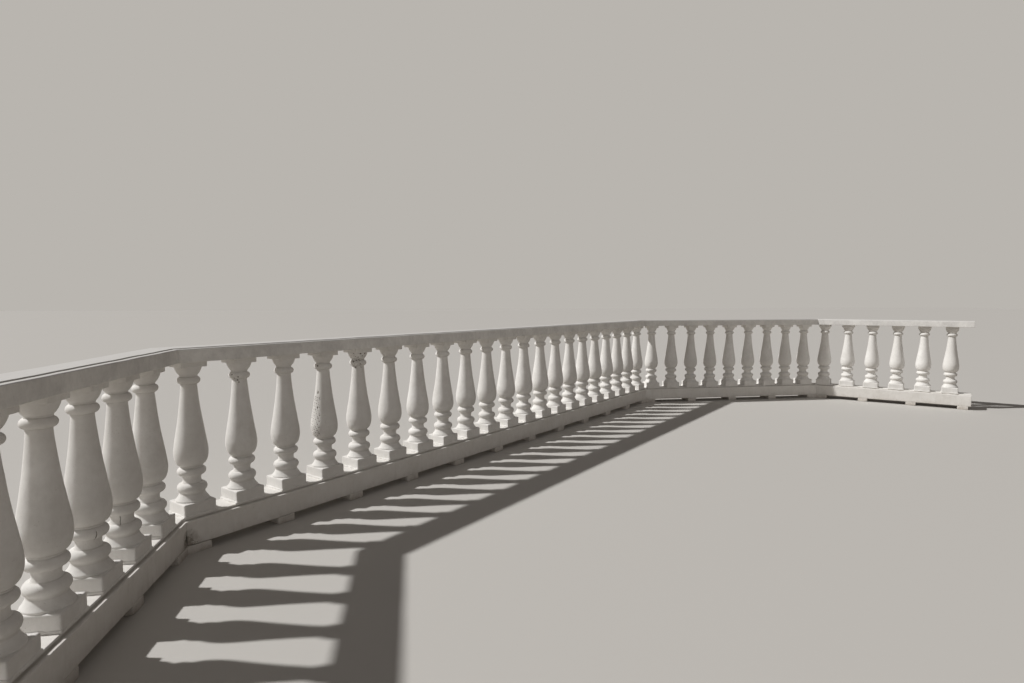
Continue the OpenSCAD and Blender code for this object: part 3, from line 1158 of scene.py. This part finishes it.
@dataclass
class MouldedRail:
    """A moulded member that runs from mitre to mitre."""

    plan: Plan
    node: str
    slot: Slot
    surface: Unevenness
    step: float = 0.013
    joint: float = 0.0016
    under: float = 0.003
    under_bow: Point = (0.0009, 0.0009)
    tone: float = 0.3

    def seat(self) -> float:
        """Returns the height of the member's underside over the floor."""
        raise NotImplementedError

    def outline(self) -> list[Point]:
        """Returns the right half of the section, half widths and heights from the underside up."""
        raise NotImplementedError

    def wear_down(self, bm: bmesh.types.BMesh, r: int) -> None:
        """Works the damage of run r into its finished member, where there is any."""

    def under_arris(self, x: float) -> list[Point]:
        """Returns the points of the small rounding at half width x on the underside."""
        aside, up = self.under_bow
        return [(x - self.under, 0.0), (x - aside, up), (x, self.under)]

    @staticmethod
    def arris(x: float, z: float, radius: float, steps: int = 4) -> list[Point]:
        """Draws a rounded outer corner.

        Args:
            x: Half width at which the square corner would stand.
            z: Its height over the underside.
            radius: Radius of the rounding.
            steps: How many straight parts it has.

        Returns:
            Its points, from the side to the top.
        """
        turns = [math.pi / 2 * i / steps for i in range(steps + 1)]
        return [(x - radius + radius * math.cos(a), z - radius + radius * math.sin(a)) for a in turns]

    def section(self) -> bmesh.types.BMesh:
        """Makes the closed section in the plane of Y and Z.

        Returns:
            Its edges, with the long sides cut.
        """
        bm = bmesh.new()
        right = self.outline()
        points = [*right, *((-y, z) for y, z in reversed(right))]
        verts = [bm.verts.new((0, y, z + self.seat())) for y, z in points]
        loop = [bm.edges.new((a, b)) for a, b in zip(verts, [*verts[1:], verts[0]])]
        for edge in loop:
            cuts = round(edge.calc_length() / self.step) - 1
            if cuts > 0:
                bmesh.ops.subdivide_edges(bm, edges=[edge], cuts=cuts)
        return bm

    def build_run(self, r: int) -> bmesh.types.BMesh:
        """Draws the section along run r, leaning it from one mitre to the next.

        Args:
            r: Number of the run, from 0.

        Returns:
            The member's mesh in the row frame.
        """
        length = self.plan.runs[r].length
        start, end = self.plan.mitre(r), self.plan.mitre(r + 1)
        bm = self.section()
        stations = [self.joint, *even_cuts(self.joint, length - self.joint, self.step), length - self.joint]
        first = list(bm.edges)
        loop = first
        for v in bm.verts:
            v.co.x = stations[0]
        for station in stations[1:]:
            made = bmesh.ops.extrude_edge_only(bm, edges=loop)["geom"]
            for v in (x for x in made if isinstance(x, bmesh.types.BMVert)):
                v.co.x = station
            loop = [x for x in made if isinstance(x, bmesh.types.BMEdge) and x.is_boundary]
        for ring in (first, loop):
            cap = bmesh.ops.edgeloop_fill(bm, edges=ring)["faces"]
            bmesh.ops.recalc_face_normals(bm, faces=bm.faces)
            bmesh.ops.inset_region(bm, faces=cap, thickness=self.joint, depth=self.joint,
                                   use_even_offset=True)
        for v in bm.verts:
            share = v.co.x / length
            v.co.x += (share * end - (1 - share) * start) * v.co.y
        bmesh.ops.transform(bm, matrix=self.plan.place(r), verts=bm.verts)
        mark_relief(bm)
        self.surface.apply(bm)
        set_value(bm, WEAR_AND_HOLE_SHADE, 0.0)
        set_value(bm, TONE, self.tone)
        self.wear_down(bm, r)
        return bm

    def build(self, finish: bpy.types.Material) -> list[bpy.types.Object]:
        """Builds and dresses the member on every run.

        Args:
            finish: The member's material.

        Returns:
            The pieces.
        """
        return [dress(self.build_run(r), f"{self.node}_{r + 1}", self.slot, finish)
                for r in range(len(self.plan.runs))]


@dataclass
class Handrail(MouldedRail):
    """The handrail: a plain face, a shoulder and a raised middle."""

    node: str = "handrail"
    slot: Slot = Slot.HANDRAIL
    surface: Unevenness = Unevenness(lump=0.0012, lump_size=0.16, ripple=0.0005, ripple_size=0.03,
                                     chip=0.006, chip_size=0.035, chip_chance=0.25)
    under: float = 0.0025
    under_bow: Point = (0.0007, 0.0008)
    width: float = 0.164
    face: float = 0.061
    shoulder: float = 0.028
    rise: float = 0.004
    worn: float = 0.005
    top_band: float = 0.0025
    top_tone: float = 1.0
    side_tone: float = 0.05

    def seat(self) -> float:
        """Returns the height of the balusters' tops."""
        return self.plan.hand_seat

    def wear_down(self, bm: bmesh.types.BMesh, r: int) -> None:
        """Greys the top, where rain and dust lie.

        Args:
            bm: The member's mesh in the row frame.
            r: Number of the run, from 0; not used, as all runs are alike here.
        """
        tone = layer(bm, TONE)
        top = self.seat() + self.face - self.top_band
        for v in bm.verts:
            v[tone] = self.top_tone if v.co.z > top else self.side_tone

    def outline(self) -> list[Point]:
        """Returns the handrail's half section."""
        w = self.width / 2
        raised = w - self.shoulder
        return [*self.under_arris(w), *self.arris(w, self.face, self.worn), (raised, self.face),
                *self.arris(raised, self.face + self.rise, self.rise / 2)]


@dataclass
class BottomRail(MouldedRail):
    """The bottom rail: a deep plain face and the raised course under the plinths."""

    node: str = "bottom_rail"
    slot: Slot = Slot.BOTTOM_RAIL
    surface: Unevenness = Unevenness(lump=0.0014, lump_size=0.14, ripple=0.0009, ripple_size=0.026,
                                     chip=0.011, chip_size=0.034, chip_chance=0.33)
    width: float = 0.182
    face: float = 0.111
    course: float = 0.012
    course_width: float = 0.142
    worn: float = 0.004
    decayed_bend: int = 1
    decay_reach: float = 0.060
    decay_height: float = 0.091
    decay_depth: float = 0.009
    decay_gain: float = 1.6
    crumb: float = 0.014
    fine_crumb: float = 0.006
    crumb_bias: float = 0.35
    patch_gain: float = 1.3
    stain_gain: float = 2.2
    stain_bias: float = 0.2

    def seat(self) -> float:
        """Returns the height of the feet."""
        return self.plan.foot_height

    def wear_down(self, bm: bmesh.types.BMesh, r: int) -> None:
        """Crumbles the inner corner of the first bend, where damp has got into the joint.

        Args:
            bm: The member's mesh in the row frame.
            r: Number of the run, from 0.
        """
        if self.decayed_bend not in (r, r + 1):
            return
        bm.normal_update()
        patch, crease = layer(bm, WEAR_AND_HOLE_SHADE), layer(bm, CREASE)
        before, after = self.plan.outward(self.decayed_bend - 1), self.plan.outward(self.decayed_bend)
        corner = self.plan.corner(self.decayed_bend) - self.plan.middle()
        corner -= (before + after).normalized() * self.width / 2 / math.cos(self.plan.bend / 2)
        for v in bm.verts:
            away = math.hypot(v.co.x - corner.x, v.co.y - corner.y)
            share = 1 - math.hypot(away / self.decay_reach, (v.co.z - self.seat()) / self.decay_height)
            if share <= 0:
                continue
            rough = self.crumb_bias + noise.noise(v.co / self.crumb)
            rough += 0.5 * noise.noise(v.co / self.fine_crumb)
            v.co -= v.normal * self.decay_depth * max(0.0, rough) * min(1.0, self.decay_gain * share)
            v[patch] = min(1.0, self.patch_gain * share)
            stain = self.stain_gain * share * max(0.0, rough + self.stain_bias)
            v[crease] = max(v[crease], min(1.0, stain))

    def outline(self) -> list[Point]:
        """Returns the bottom rail's half section."""
        w = self.width / 2
        c = self.course_width / 2
        return [*self.under_arris(w), *self.arris(w, self.face, self.worn), (c, self.face),
                *self.arris(c, self.face + self.course, self.course / 4)]


# Feet


@dataclass
class Feet:
    """The mortar feet under the bottom rail, and the feet under its bends."""

    plan: Plan
    width: float = 0.092
    arm: float = 0.110
    arris: float = 0.0035
    cell: float = 0.0125
    bend_cell: float = 0.014
    tone: float = 0.3
    surface: Unevenness = Unevenness(lump=0.0022, lump_size=0.05, ripple=0.0011, ripple_size=0.016,
                                     chip=0.010, chip_size=0.03, chip_chance=0.35)

    def finish_mesh(self, bm: bmesh.types.BMesh, place: Matrix) -> bmesh.types.BMesh:
        """Puts a foot in its place and roughens it.

        Args:
            bm: The foot's mesh.
            place: The matrix from the run's own frame to the row frame.

        Returns:
            The same mesh.
        """
        bmesh.ops.transform(bm, matrix=place, verts=bm.verts)
        mark_relief(bm)
        self.surface.apply(bm)
        for v in bm.verts:
            v.co.z = max(0.0, v.co.z)
        set_value(bm, WEAR_AND_HOLE_SHADE, 0.0)
        set_value(bm, TONE, self.tone)
        return bm

    def run_feet(self, r: int) -> bmesh.types.BMesh:
        """Makes the feet of one run.

        Args:
            r: Number of the run, from 0.

        Returns:
            Their mesh in the row frame.
        """
        bm = bmesh.new()
        size = (self.width, self.plan.rail_width, self.plan.foot_height)
        for x in self.plan.runs[r].foot_places():
            foot = block(size, Vector((x, 0, 0)), self.arris, self.cell)
            merge(bm, self.finish_mesh(foot, self.plan.place(r)))
        return bm

    def bend_foot(self, b: int) -> bmesh.types.BMesh:
        """Makes the foot under one bend, with an arm along each of its two runs.

        Args:
            b: Number of the bend, from 1.

        Returns:
            Its mesh in the row frame.
        """
        half = self.plan.rail_width / 2
        inner = self.plan.mitre(b) * half
        reach = inner + self.arm
        turn = Matrix.Rotation(self.plan.bend, 4, "Z")
        before = [turn @ Vector((-reach, half, 0)), turn @ Vector((-reach, -half, 0))]
        plan = [Vector((inner, -half, 0)), Vector((reach, -half, 0)), Vector((reach, half, 0)),
                Vector((-inner, half, 0)), *before]
        bm = bmesh.new()
        face = bm.faces.new([bm.verts.new(p) for p in plan])
        bmesh.ops.connect_vert_pair(bm, verts=[face.verts[0], face.verts[3]])
        raised = bmesh.ops.extrude_face_region(bm, geom=list(bm.faces))["geom"]
        bmesh.ops.translate(bm, vec=(0, 0, self.plan.foot_height),
                            verts=[x for x in raised if isinstance(x, bmesh.types.BMVert)])
        bmesh.ops.recalc_face_normals(bm, faces=bm.faces)
        slice_evenly(bm, self.bend_cell)
        round_arrises(bm, self.arris)
        return self.finish_mesh(bm, self.plan.place(b))

    def build(self, finish: bpy.types.Material) -> list[bpy.types.Object]:
        """Builds and dresses every foot.

        Args:
            finish: The feet's material.

        Returns:
            The pieces.
        """
        pieces = [dress(self.run_feet(r), f"feet_{r + 1}", Slot.FEET, finish)
                  for r in range(len(self.plan.runs))]
        pieces += [dress(self.bend_foot(b), f"bend_foot_{b}", Slot.FEET, finish)
                   for b in range(1, len(self.plan.runs))]
        return pieces


# Stage


@dataclass
class Studio:
    """The plain floor, the lights and the camera."""

    # The camera's place, its three axes and its lens were solved from the photograph
    eye: Triple = (-2.3107, -3.4890, 1.1210)
    right: Triple = (0.987031, -0.160526, -0.001214)
    down: Triple = (-0.01158, -0.063656, -0.997905)
    ahead: Triple = (0.160113, 0.984977, -0.064689)
    lens: float = 21.2768
    sensor: float = 36.0
    nearest: float = 0.02
    farthest: float = 200.0
    floor_reach: float = 90.0
    floor_roughness: float = 0.9
    floor_colour: Colour = (0.43, 0.40, 0.36)
    floor_shown: Colour = (0.56, 0.545, 0.52)
    backdrop: Colour = (0.485, 0.462, 0.429)
    fill_colour: Colour = (1.0, 0.90, 0.83)
    fill: float = 0.11
    lamp_colour: Colour = (1.0, 0.985, 0.965)
    front: float = 0.34
    front_heading: float = 84.0
    front_height: float = 18.0
    front_softness: float = 80.0
    sun: float = 3.35
    sun_heading: float = -9.5
    sun_height: float = 43.0
    softness: float = 1.6

    def camera(self) -> None:
        """Puts the camera at the photograph's place and angle."""
        data = bpy.data.cameras.new("camera")
        data.sensor_fit, data.sensor_width, data.lens = "HORIZONTAL", self.sensor, self.lens
        data.clip_start, data.clip_end = self.nearest, self.farthest
        eye = show("camera", data)
        turn = Matrix((Vector(self.right), -Vector(self.down), -Vector(self.ahead))).transposed()
        eye.matrix_world = Matrix.Translation(Vector(self.eye)) @ turn.to_4x4()
        bpy.context.scene.camera = eye

    def floor(self) -> None:
        """Lays the pale floor."""
        bm = bmesh.new()
        bmesh.ops.create_grid(bm, x_segments=1, y_segments=1, size=self.floor_reach)
        mesh = bpy.data.meshes.new("floor")
        bm.to_mesh(mesh)
        bm.free()
        plain = bpy.data.materials.new("pale floor")
        plain.use_nodes = True
        g = Graph(plain.node_tree)
        ray = g.node("ShaderNodeLightPath").outputs["Is Camera Ray"]
        shader = plain.node_tree.nodes["Principled BSDF"]
        g.tree.links.new(g.blend(ray, self.floor_colour, self.floor_shown), shader.inputs["Base Color"])
        shader.inputs["Roughness"].default_value = self.floor_roughness
        mesh.materials.append(plain)
        show("floor", mesh)

    def lamp(self, name: str, strength: float, softness: float, heading: float, height: float) -> None:
        """Hangs one far lamp.

        Args:
            name: Its name.
            strength: Its strength.
            softness: How wide it looks from the floor, in degrees.
            heading: Where its light goes, in degrees from +X.
            height: How high it stands, in degrees.
        """
        data = bpy.data.lights.new(name, "SUN")
        data.energy, data.angle, data.color = strength, math.radians(softness), self.lamp_colour
        across, up = math.radians(heading), math.radians(height)
        travel = Vector((math.cos(across) * math.cos(up), math.sin(across) * math.cos(up), -math.sin(up)))
        made = show(name, data)
        made.rotation_mode = "QUATERNION"
        made.rotation_quaternion = travel.to_track_quat("-Z", "Y")

    def lights(self) -> None:
        """Hangs the key light on the left, a weak wide one in front and an even fill all round."""
        self.lamp("key", self.sun, self.softness, self.sun_heading, self.sun_height)
        self.lamp("front", self.front, self.front_softness, self.front_heading, self.front_height)
        world = bpy.data.worlds.new("studio")
        world.use_nodes = True
        world.node_tree.nodes.clear()
        g = Graph(world.node_tree)
        fill = g.node("ShaderNodeBackground", {"Color": (*self.fill_colour, 1.0), "Strength": self.fill})
        seen = g.node("ShaderNodeBackground", {"Color": (*self.backdrop, 1.0), "Strength": 1.0})
        ray = g.node("ShaderNodeLightPath").outputs["Is Camera Ray"]
        mix = g.node("ShaderNodeMixShader", {0: ray, 1: fill.outputs[0], 2: seen.outputs[0]})
        output = g.node("ShaderNodeOutputWorld")
        g.tree.links.new(mix.outputs[0], output.inputs["Surface"])
        bpy.context.scene.world = world

    def build(self) -> None:
        """Sets the whole stage."""
        bpy.context.scene.view_settings.view_transform = "Standard"
        self.camera()
        self.floor()
        self.lights()


def main() -> None:
    """Builds the stage and every piece."""
    logging.basicConfig(level=logging.INFO, format="%(message)s")
    Studio().build()
    effects = Effects().build()
    plan = Plan()
    baluster_paint = PaintedStone("baluster paint", (0.88, 0.87, 0.85), (0.73, 0.715, 0.69), grain=0.0016)
    handrail_paint = PaintedStone("handrail paint", (0.87, 0.86, 0.835), (0.65, 0.64, 0.625),
                                   crease_grime_and_shade_share=0.55, tone_share=0.85)
    rail_paint = PaintedStone("bottom rail paint", (0.84, 0.825, 0.80), (0.73, 0.71, 0.675),
                              grain=0.0018, flaking=0.35, dirt_top=0.09, dirt_share=0.45, streaks=0.15)
    foot_paint = PaintedStone("foot mortar", (0.80, 0.775, 0.74), (0.63, 0.60, 0.56),
                              roughness=0.8, grain=0.0025, holes=0.9, flaking=0.6, dirt_top=0.04)
    Handrail(plan).build(handrail_paint.material(effects))
    BottomRail(plan).build(rail_paint.material(effects))
    Feet(plan).build(foot_paint.material(effects))
    BalusterRows(plan).build(baluster_paint.material(effects))


if __name__ == "__main__":
    main()
